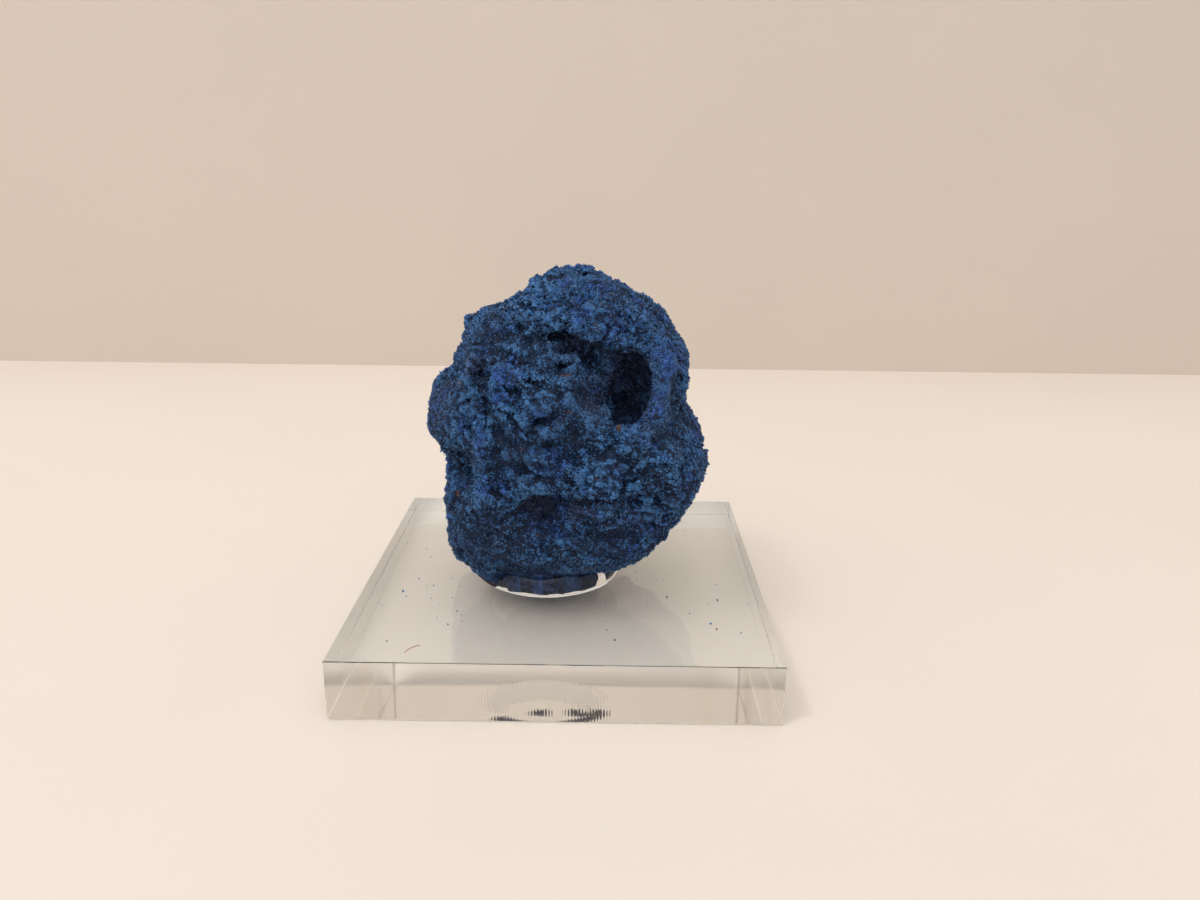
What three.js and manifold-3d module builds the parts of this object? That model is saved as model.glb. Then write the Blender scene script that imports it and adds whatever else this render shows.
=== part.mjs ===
// Azurite nodule on a display base: a rough, hollowed lump of azurite that grew as one piece, held
// upright by a pad of clear gel on a square slab of clear acrylic.
// Millimetres, +Z up. The origin is the centre of the slab's underside, and the specimen's front faces -Y.

import * as THREE from "three";
import { mergeVertices } from "three/addons/utils/BufferGeometryUtils.js";
import Module from "manifold-3d";

// Acrylic base, a stock 1 3/4 inch square of 1/4 inch sheet
const BASE_SIDE = 44.45;
const BASE_THICKNESS = 6.35;
const BASE_CORNER = 0.5; // radius of the four upright corners
const BASE_ARRIS = 0.22; // bevel polished onto the top and bottom edges

// Gel pad
const GEL_RADIUS = 8.5;
const GEL_HEIGHT = 3.1;
const GEL_CENTRE = [-2, 0.3];
const GEL_BULGE = 0.35; // how far the rim swells past its foot's edge
const GEL_SIDES = 56;
const GEL_FLOOR = 0.25; // gel left between the nodule and the slab
const TOUCH_GAP = 0.3; // kept between the nodule and the gel

// Nodule
const NODULE_CENTRE = new THREE.Vector3(0, 0.6, 24.3);
const NODULE_FRONT = 14.2; // half depth towards the front
const NODULE_BACK = 13.4; // half depth towards the back
const NODULE_SQUARENESS = 2.55; // 2 is an ellipsoid, more is boxier
const RIM_FADE = [0.3, 0.9]; // how far a direction leans to the back as the outline's bumps fade
const NODULE_DETAIL = 16; // subdivisions of each side of the icosahedron that it is shaped from
const NODULE_FOOT = BASE_THICKNESS + GEL_FLOOR + TOUCH_GAP; // the nodule reaches no lower

// The nodule's outline seen from the front: degrees round from +X towards +Z, and the reach there.
// Its bumps run on over the front, and fade out towards the middle of the back.
const OUTLINE = [
  [0, 14.5], [12, 13.2], [22, 14.1], [35, 15.9], [50, 15.6], [65, 16.4], [80, 16.8], [92, 16.8],
  [103, 15.6], [112, 14.9], [122, 14.8], [131, 15.3], [142, 14.1], [152, 13.6], [163, 14.2], [174, 15.0],
  [183, 14.1], [192, 12.9], [202, 13.4], [211, 15.2], [222, 18.0], [236, 19.7], [250, 19.3], [264, 17.8],
  [280, 17.8], [296, 18.0], [310, 17.0], [322, 16.7], [336, 17.3], [350, 16.0],
];

// Swellings and dents of the front: [x, z] of the middle, how wide, and how far out (or in, below 0).
const FRONT_RELIEF = [
  { what: "central mass", at: [-2.5, 27.0], width: 4.6, out: 1.1 },
  { what: "brow over the cave", at: [2.0, 37.8], width: 3.0, out: 1.2 },
  { what: "left brow", at: [-6.0, 37.2], width: 2.6, out: 0.5 },
  { what: "right ridge", at: [11.3, 31.2], width: 2.0, out: 1.0 },
  { what: "right lower lobe", at: [11.0, 22.6], width: 3.6, out: 1.3 },
  { what: "rosette", at: [4.8, 21.4], width: 2.3, out: 1.0 },
  { what: "sill below the pocket", at: [7.0, 25.2], width: 2.2, out: 0.9 },
  { what: "upper left ridge", at: [-7.4, 24.4], width: 1.7, out: 0.8 },
  { what: "lower left ridge", at: [-7.4, 20.0], width: 1.8, out: 0.8 },
  { what: "bottom roll", at: [3.6, 12.6], width: 3.4, out: 0.7 },
  { what: "pocket's bowl", at: [4.6, 31.6], width: 3.6, out: -1.9 },
  { what: "lower hollow", at: [-1.8, 17.4], width: 2.4, out: -2.4 },
  { what: "left valley", at: [-10.6, 22.0], width: 2.3, out: -1.3 },
  { what: "upper left hollow", at: [-6.6, 33.6], width: 2.0, out: -1.1 },
  { what: "right pit", at: [8.3, 19.9], width: 1.5, out: -0.9 },
];

// Pockets that run under their own rims: middle, half sizes, and turn about Y and then X, in degrees.
const POCKETS = [
  { what: "deep hole", at: [7.1, -8.6, 30.2], half: [2.9, 8.0, 4.2], turnY: 6, turnX: -14 },
  { what: "cave", at: [2.0, -9.0, 34.4], half: [3.1, 5.6, 1.3], turnY: 24, turnX: -12 },
];

const POCKET_DETAIL = 7; // subdivisions of each side of the icosahedron that a pocket is shaped from

// Lumps and dents of every size over the sides and the back, spread evenly and then shifted at random
const LUMP_SEED = 20;
const LUMP_COUNT = 46;
const LUMP_SHIFT = 0.7; // radians round the upright axis
const LUMP_FRONT_LIMIT = -0.3; // a direction that leans further to the front gets none
const LUMP_WIDTH = [2.0, 3.6];
const LUMP_REACH = [-0.75, 0.85];
const GRAIN_SIZES = [5.2, 2.6]; // wavelengths of the general roughness
const GRAIN_REACH = [0.55, 0.35];
const GRAIN_OFFSET = 17; // moves each wavelength's lattice away from the others

// A fixed sequence of numbers from 0 to 1 (mulberry32), so that the nodule is the same on every run.
function sequence(seed) {
  let state = seed;
  return () => {
    state = (state + 0x6d2b79f5) | 0;
    let t = Math.imul(state ^ (state >>> 15), 1 | state);
    t = (t + Math.imul(t ^ (t >>> 7), 61 | t)) ^ t;
    return ((t ^ (t >>> 14)) >>> 0) / 4294967296;
  };
}

// A number from -1 to 1 that belongs to a lattice corner.
function cornerValue(i, j, k) {
  let h = Math.imul(i, 374761393) ^ Math.imul(j, 668265263) ^ Math.imul(k, 2147483647);
  h = Math.imul(h ^ (h >>> 13), 1274126177);
  return (((h ^ (h >>> 16)) >>> 0) / 4294967296) * 2 - 1;
}

// Smooth noise from -1 to 1 at a point, by blending the eight corners round it.
function noise(p) {
  const cell = [p.x, p.y, p.z].map(Math.floor);
  const share = [p.x, p.y, p.z].map((v, n) => THREE.MathUtils.smoothstep(v - cell[n], 0, 1));
  const along = (i, j) =>
    THREE.MathUtils.lerp(
      cornerValue(cell[0] + i, cell[1] + j, cell[2]),
      cornerValue(cell[0] + i, cell[1] + j, cell[2] + 1),
      share[2],
    );
  const sheet = (i) => THREE.MathUtils.lerp(along(i, 0), along(i, 1), share[1]);
  return THREE.MathUtils.lerp(sheet(0), sheet(1), share[0]);
}

// The outline's reach at an angle, on a smooth closed curve through its points.
function outlineReach(degrees) {
  const turn = ((degrees % 360) + 360) % 360;
  const count = OUTLINE.length;
  let before = count - 1;
  for (let n = 0; n < count; n += 1) {
    if (OUTLINE[n][0] <= turn) before = n;
  }
  const point = (n) => OUTLINE[(n + count) % count];
  const span = (point(before + 1)[0] - point(before)[0] + 360) % 360;
  const share = ((turn - point(before)[0] + 360) % 360) / span;
  const curve = new THREE.SplineCurve(
    [-1, 0, 1, 2].map((n) => new THREE.Vector2(n, point(before + n)[1])),
  );
  return curve.getPoint((1 + share) / 3).y;
}

const MEAN_REACH = OUTLINE.reduce((sum, point) => sum + point[1], 0) / OUTLINE.length;

// How far the plain body reaches along a unit direction, before any relief.
function bodyReach(direction) {
  const aside = Math.hypot(direction.x, direction.z);
  const depth = direction.y < 0 ? NODULE_FRONT : NODULE_BACK;
  const rim = outlineReach(THREE.MathUtils.radToDeg(Math.atan2(direction.z, direction.x)));
  const fade = THREE.MathUtils.smoothstep(direction.y, ...RIM_FADE);
  const outline = THREE.MathUtils.lerp(rim, MEAN_REACH, fade);
  const sum =
    (aside / outline) ** NODULE_SQUARENESS + (Math.abs(direction.y) / depth) ** NODULE_SQUARENESS;
  return sum ** (-1 / NODULE_SQUARENESS);
}

// The point of the plain body's front that lies at x and z.
function frontPoint(x, z) {
  const low = new THREE.Vector3(x, -NODULE_FRONT * 2, z).sub(NODULE_CENTRE);
  const high = new THREE.Vector3(x, NODULE_CENTRE.y, z).sub(NODULE_CENTRE);
  for (let step = 0; step < 30; step += 1) {
    const middle = low.clone().add(high).multiplyScalar(0.5);
    const outside = middle.length() > bodyReach(middle.clone().normalize());
    (outside ? low : high).copy(middle);
  }
  return high;
}

// Every swelling and dent as a point on the body with a width and a reach.
function allRelief() {
  const relief = FRONT_RELIEF.map(({ at, width, out }) => ({ centre: frontPoint(...at), width, out }));
  const next = sequence(LUMP_SEED);
  const golden = Math.PI * (3 - Math.sqrt(5));
  for (let n = 0; n < LUMP_COUNT; n += 1) {
    const up = 1 - (2 * (n + 0.5)) / LUMP_COUNT;
    const round = golden * n + next() * LUMP_SHIFT;
    const aside = Math.sqrt(1 - up * up);
    const direction = new THREE.Vector3(aside * Math.cos(round), aside * Math.sin(round), up);
    const width = THREE.MathUtils.lerp(...LUMP_WIDTH, next());
    const out = THREE.MathUtils.lerp(...LUMP_REACH, next());
    const onFront = direction.y < LUMP_FRONT_LIMIT;
    const centre = direction.multiplyScalar(bodyReach(direction));
    if (!onFront) relief.push({ centre, width, out });
  }
  return relief;
}

const RELIEF = allRelief();

// How far the finished nodule reaches along a unit direction.
function noduleReach(direction) {
  const body = bodyReach(direction);
  const point = direction.clone().multiplyScalar(body);
  let reach = body;
  for (const { centre, width, out } of RELIEF) {
    reach += out * Math.exp(-point.distanceToSquared(centre) / (width * width));
  }
  GRAIN_SIZES.forEach((size, n) => {
    reach += GRAIN_REACH[n] * noise(point.clone().divideScalar(size).addScalar(GRAIN_OFFSET * (n + 1)));
  });
  return reach;
}

// The nodule's closed surface, grown outwards by a margin, before its pockets are cut.
function noduleGeometry(margin) {
  const geometry = new THREE.IcosahedronGeometry(1, NODULE_DETAIL);
  const position = geometry.getAttribute("position");
  const direction = new THREE.Vector3();
  for (let n = 0; n < position.count; n += 1) {
    direction.fromBufferAttribute(position, n).normalize();
    const place = direction.clone().multiplyScalar(noduleReach(direction) + margin).add(NODULE_CENTRE);
    position.setXYZ(n, place.x, place.y, Math.max(place.z, NODULE_FOOT - margin));
  }
  return geometry;
}

function pocketGeometry({ at, half, turnY, turnX }) {
  const turn = new THREE.Euler(THREE.MathUtils.degToRad(turnX), THREE.MathUtils.degToRad(turnY), 0);
  const place = new THREE.Matrix4().compose(
    new THREE.Vector3(...at),
    new THREE.Quaternion().setFromEuler(turn),
    new THREE.Vector3(...half),
  );
  return new THREE.IcosahedronGeometry(1, POCKET_DETAIL).applyMatrix4(place);
}

// A round pad with a swollen rim, as a closed lathe profile from the axis and back to it.
function gelGeometry() {
  const foot = new THREE.Vector2(GEL_RADIUS - GEL_BULGE, 0);
  const top = new THREE.Vector2(GEL_RADIUS - GEL_BULGE * 2, GEL_HEIGHT);
  const swell = new THREE.Vector2(GEL_RADIUS + GEL_BULGE, GEL_HEIGHT * 0.45);
  const rim = new THREE.QuadraticBezierCurve(foot, swell, top).getPoints(7);
  const profile = [new THREE.Vector2(0, 0), ...rim, new THREE.Vector2(0, GEL_HEIGHT)];
  return new THREE.LatheGeometry(profile, GEL_SIDES)
    .rotateX(Math.PI / 2)
    .translate(...GEL_CENTRE, BASE_THICKNESS);
}

function baseGeometry() {
  const half = BASE_SIDE / 2 - BASE_CORNER;
  const outline = new THREE.Shape();
  outline.absarc(half, half, BASE_CORNER, 0, Math.PI / 2);
  outline.absarc(-half, half, BASE_CORNER, Math.PI / 2, Math.PI);
  outline.absarc(-half, -half, BASE_CORNER, Math.PI, 1.5 * Math.PI);
  outline.absarc(half, -half, BASE_CORNER, 1.5 * Math.PI, 2 * Math.PI);
  outline.closePath();
  return new THREE.ExtrudeGeometry(outline, {
    depth: BASE_THICKNESS - 2 * BASE_ARRIS,
    bevelThickness: BASE_ARRIS,
    bevelSize: BASE_ARRIS,
    bevelOffset: -BASE_ARRIS,
    bevelSegments: 2,
    curveSegments: 4,
  }).translate(0, 0, BASE_ARRIS);
}

const wasm = await Module();
wasm.setup();

function solidOf(geometry) {
  geometry.deleteAttribute("normal");
  geometry.deleteAttribute("uv");
  const merged = mergeVertices(geometry, 1e-4);
  return new wasm.Manifold(
    new wasm.Mesh({
      numProp: 3,
      vertProperties: merged.getAttribute("position").array,
      triVerts: new Uint32Array(merged.index.array),
    }),
  );
}

function geometryOf(solid) {
  const { vertProperties, triVerts } = solid.getMesh();
  const geometry = new THREE.BufferGeometry();
  geometry.setAttribute("position", new THREE.BufferAttribute(vertProperties, 3));
  geometry.setIndex(new THREE.BufferAttribute(triVerts, 1));
  geometry.computeVertexNormals();
  return geometry;
}

function piece(name, geometry, finish) {
  const mesh = new THREE.Mesh(geometry, new THREE.MeshStandardMaterial(finish));
  mesh.name = name;
  return mesh;
}

function nodulePiece() {
  const cut = POCKETS.reduce(
    (solid, pocket) => solid.subtract(solidOf(pocketGeometry(pocket))),
    solidOf(noduleGeometry(0)),
  );
  return piece("azurite_nodule", geometryOf(cut), { color: 0x1f4a7d, roughness: 0.75, metalness: 0 });
}

function gelPiece() {
  const seat = solidOf(noduleGeometry(TOUCH_GAP));
  const pad = solidOf(gelGeometry()).subtract(seat);
  const clear = { color: 0xe8edf0, roughness: 0.05, metalness: 0, transparent: true, opacity: 0.35 };
  return piece("mounting_gel", geometryOf(pad), clear);
}

function basePiece() {
  const clear = { color: 0xf2f1ec, roughness: 0.03, metalness: 0, transparent: true, opacity: 0.3 };
  return piece("acrylic_base", baseGeometry(), clear);
}

const specimen = new THREE.Group();
specimen.add(basePiece(), gelPiece(), nodulePiece());

export default specimen;
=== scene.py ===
"""Looks of an azurite nodule that stands on a pad of clear gel on a clear acrylic base.

Laid out as an add-on and run as a script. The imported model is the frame: every place and size comes from it.
Shapes are worked out in millimetres with numpy, and a mesh becomes metres when it is made.
"""

import itertools
import math

import bpy
import numpy as np
import openvdb
from bpy.props import FloatProperty, FloatVectorProperty, IntProperty, PointerProperty
from mathutils import Matrix, Vector
from mathutils.geometry import delaunay_2d_cdt


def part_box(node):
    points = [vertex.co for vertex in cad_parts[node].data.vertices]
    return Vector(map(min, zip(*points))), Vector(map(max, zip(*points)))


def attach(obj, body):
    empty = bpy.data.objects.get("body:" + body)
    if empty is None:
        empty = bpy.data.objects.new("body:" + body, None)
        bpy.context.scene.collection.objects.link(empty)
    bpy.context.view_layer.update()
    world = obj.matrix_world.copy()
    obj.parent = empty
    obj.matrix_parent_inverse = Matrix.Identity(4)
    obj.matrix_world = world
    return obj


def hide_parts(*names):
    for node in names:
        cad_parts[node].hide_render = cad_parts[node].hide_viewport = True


bl_info = {
    "name": "Azurite specimen",
    "version": (1, 0, 0),
    "blender": (4, 5, 0),
    "location": "View3D > Sidebar > Azurite",
    "description": "Crystal crust, gel pad, acrylic base and studio for an azurite nodule",
    "category": "Object",
}

MM = 0.001
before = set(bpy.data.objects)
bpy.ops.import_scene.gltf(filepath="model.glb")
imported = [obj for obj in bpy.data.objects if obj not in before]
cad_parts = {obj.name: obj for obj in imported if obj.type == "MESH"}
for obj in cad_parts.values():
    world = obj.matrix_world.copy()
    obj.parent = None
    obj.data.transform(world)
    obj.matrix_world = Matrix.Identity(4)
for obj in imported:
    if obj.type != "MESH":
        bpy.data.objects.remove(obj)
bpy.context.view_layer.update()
NODULE, GEL, BASE = "azurite_nodule", "mounting_gel", "acrylic_base"


def box_mm(node):
    """A CAD node's lowest and highest corners, in millimetres."""
    return [np.array(corner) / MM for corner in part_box(node)]


def round_box(node):
    """A round CAD node's middle in X and Y, and its radius, in millimetres."""
    low, high = box_mm(node)
    return (low + high)[:2] / 2, (high[0] - low[0]) / 2


# ---------------------------------------------------------------------------------------------------------
# Random fields in space
# ---------------------------------------------------------------------------------------------------------

TABLE = 32  # the fields repeat after this many cells, which is further than the nodule reaches


class Drift:
    """Smooth random values from -1 to 1, with one or more channels, that change over a given length."""

    def __init__(self, seed, size, channels=1):
        self.size = size
        table = np.random.default_rng(seed).uniform(-1, 1, (TABLE, TABLE, TABLE, channels))
        self.table = table.astype(np.float32)

    def __call__(self, points):
        scaled = points / self.size
        cell = np.floor(scaled)
        share = (scaled - cell).astype(np.float32)
        share = share * share * (3 - 2 * share)
        low = cell.astype(np.int32) % TABLE
        high = (low + 1) % TABLE
        total = np.zeros((len(points), self.table.shape[3]), np.float32)
        for corner in itertools.product((0, 1), repeat=3):
            pick = [(high if up else low)[:, axis] for axis, up in enumerate(corner)]
            weight = np.prod([share[:, a] if up else 1 - share[:, a] for a, up in enumerate(corner)], axis=0)
            total += weight[:, None] * self.table[pick[0], pick[1], pick[2]]
        return total if total.shape[1] > 1 else total[:, 0]


class Seeds:
    """Scattered seeds, one to a cell: distances to the nearest two, in cells, and the nearest's number."""

    def __init__(self, seed, size, scatter=0.9):
        self.size = size
        rng = np.random.default_rng(seed)
        low, high = 0.5 - scatter / 2, 0.5 + scatter / 2
        self.seeds = rng.uniform(low, high, (TABLE, TABLE, TABLE, 3)).astype(np.float32)
        self.numbers = rng.random((TABLE, TABLE, TABLE)).astype(np.float32)

    def __call__(self, points):
        scaled = (points / self.size).astype(np.float32)
        home = np.floor(scaled).astype(np.int32)
        nearest = np.full(len(points), 9.0, np.float32)
        second = nearest.copy()
        number = np.zeros(len(points), np.float32)
        for offset in itertools.product((-1, 0, 1), repeat=3):
            cell = home + np.array(offset, np.int32)
            i, j, k = (cell % TABLE).T
            gap = ((scaled - cell - self.seeds[i, j, k]) ** 2).sum(1)
            closer = gap < nearest
            second = np.where(closer, nearest, np.minimum(second, gap))
            number = np.where(closer, self.numbers[i, j, k], number)
            nearest = np.where(closer, gap, nearest)
        return np.sqrt(nearest), np.sqrt(second), number


def ramp(values, low, high):
    """0 below low, 1 above high, and smooth between; low may be the larger."""
    share = np.clip((values - low) / (high - low), 0, 1)
    return share * share * (3 - 2 * share)


def blob(points, centre, size):
    """1 at a centre, fading to 0 past its sizes along X, Y and Z."""
    gap = (((points - np.array(centre)) / np.array(size)) ** 2).sum(1)
    return np.exp(-gap)


def strongest(points, places):
    """The strongest of several blobs at each point."""
    total = np.zeros(len(points))
    for centre, size in places:
        total = np.maximum(total, blob(points, centre, size))
    return total


# ---------------------------------------------------------------------------------------------------------
# The nodule's relief, in millimetres: what stands out or is hollowed beyond the CAD solid
# ---------------------------------------------------------------------------------------------------------

# What it is, where its middle lies, its sizes along X, Y and Z, and how far out it stands (or in, below 0)
FEATURES = [
    ("bowl beside the hole", (4.0, -12.2, 31.0), (2.4, 3.0, 2.3), -1.9),
    ("trough from the cave to the hole", (5.0, -11.4, 33.8), (1.6, 2.4, 1.0), -1.4),
    ("left wall of the hole", (5.2, -8.8, 28.4), (1.1, 3.0, 1.8), 1.2),
    ("right wall of the hole", (10.0, -9.6, 29.6), (0.8, 3.4, 2.6), 0.8),
    ("bottom of the hole", (7.4, -1.4, 30.4), (3.2, 3.0, 4.4), 2.6),
    ("upper right of the hole", (9.8, -9.6, 34.0), (1.4, 3.4, 1.2), 1.6),
    ("lower right of the hole", (9.4, -10.0, 27.0), (0.9, 3.0, 0.8), 1.0),
    ("sill below the hole", (7.6, -12.6, 26.6), (2.2, 1.6, 0.8), 0.9),
    ("rust-lined nick in the sill", (5.6, -12.4, 26.9), (0.5, 2.0, 0.8), -1.3),
    ("worn rim of the hole, left", (5.0, -11.0, 31.6), (1.2, 2.2, 2.2), -1.1),
    ("overhang of the cave", (0.6, -10.8, 37.2), (2.4, 1.8, 0.8), 0.6),
    ("mouth of the cave", (2.2, -11.2, 35.0), (2.0, 2.0, 0.8), -0.8),
    ("left end of the cave", (-0.4, -9.6, 35.6), (0.9, 3.4, 0.7), -0.9),
    ("right end of the cave", (4.6, -9.0, 33.4), (0.8, 3.2, 0.7), 0.8),
    ("bottom of the cave", (1.8, -5.4, 34.8), (3.0, 2.6, 1.8), 2.4),
    ("skirt beside the gel, left", (-9.4, -4.4, 9.4), (1.8, 3.4, 1.3), 1.0),
    ("undercut over the gel's front", (-2.5, -9.8, 9.6), (5.5, 2.6, 0.9), -0.8),
    ("undercut behind the gel", (5.0, 8.6, 10.4), (3.6, 4.4, 1.6), -2.6),
    ("edge of the right lobe", (16.0, -3.6, 22.3), (1.0, 3.0, 0.8), -0.7),
    ("first knob in the cave's mouth", (0.8, -11.2, 34.0), (0.5, 1.4, 0.4), 0.9),
    ("second knob in the cave's mouth", (2.3, -10.8, 33.9), (0.5, 1.4, 0.4), 0.9),
    ("small pocket, left", (-0.3, -11.6, 32.9), (0.9, 3.0, 0.5), -2.1),
    ("small pocket, right", (2.3, -11.2, 32.9), (0.8, 3.0, 0.35), -1.7),
    ("mound under the pockets", (1.2, -12.4, 31.4), (2.2, 1.8, 0.8), 0.8),
    ("arch, left limb", (-3.4, -13.9, 29.0), (0.9, 1.6, 1.6), 0.8),
    ("arch, crest", (0.0, -13.6, 29.7), (2.2, 1.6, 0.8), 0.8),
    ("arch, right limb", (3.6, -13.2, 27.9), (1.0, 1.8, 1.5), 0.9),
    ("hollow under the arch", (1.4, -13.6, 26.2), (1.7, 3.0, 1.8), -2.0),
    ("dark slot above the rosette", (1.0, -13.6, 24.1), (1.7, 3.0, 0.5), -1.7),
    ("rosette", (4.1, -14.3, 22.0), (2.3, 2.0, 2.1), 1.1),
    ("gap left of the rosette", (1.4, -14.0, 21.6), (0.5, 2.4, 1.4), -1.2),
    ("gap right of the rosette", (7.0, -13.2, 21.6), (0.5, 2.4, 1.8), -1.3),
    ("shelf under the rosette", (3.6, -13.6, 19.6), (2.2, 2.4, 0.4), -1.2),
    ("lower hollow", (-1.8, -11.8, 18.3), (2.2, 3.6, 1.8), -2.3),
    ("lip over the lower hollow", (-1.4, -13.8, 20.8), (2.8, 1.6, 0.7), 0.9),
    ("knob below the rosette", (4.9, -13.8, 18.0), (1.1, 1.4, 0.9), 1.0),
    ("left groove", (-7.4, -10.0, 31.4), (0.7, 2.6, 2.6), -1.8),
    ("rib left of the groove", (-9.0, -9.4, 31.4), (0.8, 1.8, 2.0), 0.7),
    ("rib right of the groove", (-6.0, -11.2, 32.2), (0.6, 1.8, 2.6), 0.7),
    ("left rib, upper", (-7.6, -12.4, 24.6), (0.7, 1.6, 2.0), 1.0),
    ("left rib, lower", (-7.5, -12.6, 20.2), (0.8, 1.6, 2.2), 1.1),
    ("shade side of the left rib", (-6.1, -12.8, 22.8), (0.6, 2.4, 2.4), -1.3),
    ("outer side of the left rib", (-9.2, -10.8, 22.4), (0.7, 2.4, 2.6), -1.0),
    ("waist under the left knob", (-10.8, -9.2, 22.6), (1.2, 2.8, 1.5), -0.9),
    ("left knob", (-11.4, -9.0, 27.6), (2.2, 2.8, 2.6), 0.5),
    ("dark under the sill", (3.8, -13.6, 24.9), (1.2, 2.0, 0.5), -1.1),
    ("ridge right of the hole", (10.4, -10.6, 31.0), (0.8, 1.6, 3.0), 1.0),
    ("groove right of that ridge", (11.9, -8.8, 30.6), (0.5, 2.2, 2.8), -1.4),
    ("right pit", (8.2, -11.6, 19.6), (0.8, 2.8, 0.8), -2.2),
    ("second right pit", (10.6, -11.0, 19.4), (0.6, 2.2, 0.7), -1.3),
    ("small right pit", (12.7, -9.8, 22.4), (0.6, 2.0, 0.5), -1.6),
    ("right lobe", (11.0, -11.8, 23.8), (2.2, 2.0, 2.2), 0.6),
    ("notch", (13.9, -2.0, 26.6), (1.0, 3.4, 0.6), -0.9),
    ("bottom roll", (6.0, -11.4, 13.0), (2.8, 1.8, 1.3), 0.8),
    ("crease above the bottom roll", (5.4, -12.2, 15.4), (3.2, 2.0, 0.5), -1.2),
    ("crag pit, upper", (-3.9, -13.2, 30.4), (0.7, 2.6, 0.6), -1.9),
    ("crag pit, middle", (-1.7, -13.6, 28.2), (0.8, 2.4, 0.5), -1.9),
    ("crag pit, lower", (-4.4, -13.4, 25.4), (0.9, 2.4, 0.5), -2.0),
    ("crag pit, right", (-0.9, -13.9, 25.9), (0.9, 2.4, 0.4), -1.8),
    ("fold below the crags", (-4.2, -13.2, 23.3), (1.7, 2.2, 0.5), -1.3),
    ("dark patch above the left foot", (-6.0, -12.6, 19.6), (1.0, 2.0, 0.7), -1.0),
    ("step in the lower left", (-4.6, -12.0, 14.8), (0.5, 1.8, 1.4), -1.2),
    ("upper left hollow", (-6.2, -9.4, 33.6), (0.8, 2.0, 0.8), -1.4),
    ("fold in the upper left", (-3.2, -9.6, 35.6), (2.6, 2.0, 0.45), -1.2),
    ("hollow at the top", (1.1, -9.0, 38.6), (1.2, 2.0, 0.6), -1.4),
    ("knob at the top left", (-2.6, -3.0, 39.8), (1.4, 2.4, 1.0), 0.7),
    ("cleft in the back", (-2.0, 13.0, 27.0), (1.0, 3.0, 5.0), -1.8),
    ("pocket in the back", (6.0, 11.6, 19.0), (2.0, 3.4, 1.6), -2.2),
    ("shelf across the back", (3.0, 12.4, 24.0), (6.0, 3.0, 0.7), -1.2),
    ("hollow in the left flank", (-13.4, 4.0, 19.0), (3.0, 2.0, 1.8), -1.8),
    ("hollow in the right flank", (14.4, 4.0, 19.6), (3.0, 1.6, 1.6), -1.8),
]

# Where the crust is velvety and its relief is low: middle and sizes
SMOOTH_PARTS = [
    ((-11.8, -7.0, 27.5), (3.2, 5.0, 3.2)),
    ((-9.4, -10.5, 13.6), (4.6, 5.0, 4.2)),
    ((1.4, -13.0, 26.2), (1.5, 2.4, 1.5)),
    ((1.0, -9.0, 9.0), (12.0, 8.0, 2.6)),
    ((-2.8, 0.1, 7.4), (10.0, 10.0, 2.0)),
    ((9.6, 9.0, 31.0), (5.0, 5.0, 4.0)),
]
ROSETTE, ROSETTE_RADIUS = (4.1, -14.6, 22.2), 2.5
PITLESS = 0.62  # the share of the random pits' places that stay filled
CRAG_ROWS = np.array([(0.55, 0.0, -0.4), (0.0, 1.0, 0.0), (0.65, 0.0, 1.0)])  # draws clumps out into rows
# The foot that is pressed into the gel: its middle, and its radius, half its height and its rounding
FOOT, FOOT_SIZE = (-2.4, 0.2, 8.5), (8.15, 2.1, 0.3)
GEL_TOP = 9.2  # up to this height gel wets the skin, which carries no crystals there
GEL_SKIN = 0.4  # the least gel in front of the foot
ROOM_FLARE = 4  # how fast the gel's room widens above its rim
LEFT_HANG = (-6.5, -8.5), 3  # between these X the stone's left side comes to hang this far past the gel
STONE_RIGHT = (4.4, -6.3)  # the front corner of the foot's right side, which runs back towards -X
STONE_SLANT = 0.55  # how far the right side moves to -X for each millimetre back


def calm(points):
    """How far the relief is held back, from 0 on the crags to 1 on the velvety parts."""
    return strongest(points, SMOOTH_PARTS)


def crests(points, size, seed):
    """Sharp winding crests with round hollows between them."""
    return 0.3 - np.abs(Drift(seed, size)(points))


def domes(points, seeds, rise, cleft, width):
    """Rounded clumps around seeds, of uneven height, with clefts of a width between them."""
    near, second, number = seeds(points)
    return rise * (0.5 + number) * (0.45 - near**2) - cleft * ramp(second - near, width, 0.0)


def foot_distance(points):
    """Distance from the rounded disc of a foot that is pressed into the gel."""
    radius, half, rounding = FOOT_SIZE
    gap = points - np.array(FOOT)
    out = np.hypot(gap[:, 0], gap[:, 1]) - radius + rounding
    up = np.abs(gap[:, 2]) - half + rounding
    return np.hypot(np.maximum(out, 0), np.maximum(up, 0)) + np.minimum(np.maximum(out, up), 0) - rounding


def beyond_gel(points):
    """How far a point lies outside the room that the gel leaves for the stone, which opens above its rim.

    On the left the stone hangs down past the gel, and on the right it stops short of it.
    """
    middle, radius = round_box(GEL)
    out = np.hypot(*(points[:, :2] - middle).T) - radius + GEL_SKIN
    rise = points[:, 2] - box_mm(GEL)[1][2]
    (start, end), hang = LEFT_HANG
    rim = out - ROOM_FLARE * np.maximum(rise + 0.1, 0) - hang * ramp(points[:, 0], start, end)
    right = points[:, 0] - STONE_RIGHT[0] + STONE_SLANT * (points[:, 1] - STONE_RIGHT[1])
    right /= math.hypot(1, STONE_SLANT)
    return np.maximum(rim, right - ROOM_FLARE * np.maximum(rise - 0.5, 0))


def coarse_relief(points, bend):
    """Features and large clumps, at points that a slow random bend has shifted."""
    bent = points + bend(points)
    height = domes(bent, Seeds(3, 4.3), 0.8, 0.5, 0.12) * (1 - 0.5 * calm(points))
    for _, centre, size, out in FEATURES:
        height += out * blob(bent, centre, size)
    return height


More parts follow.
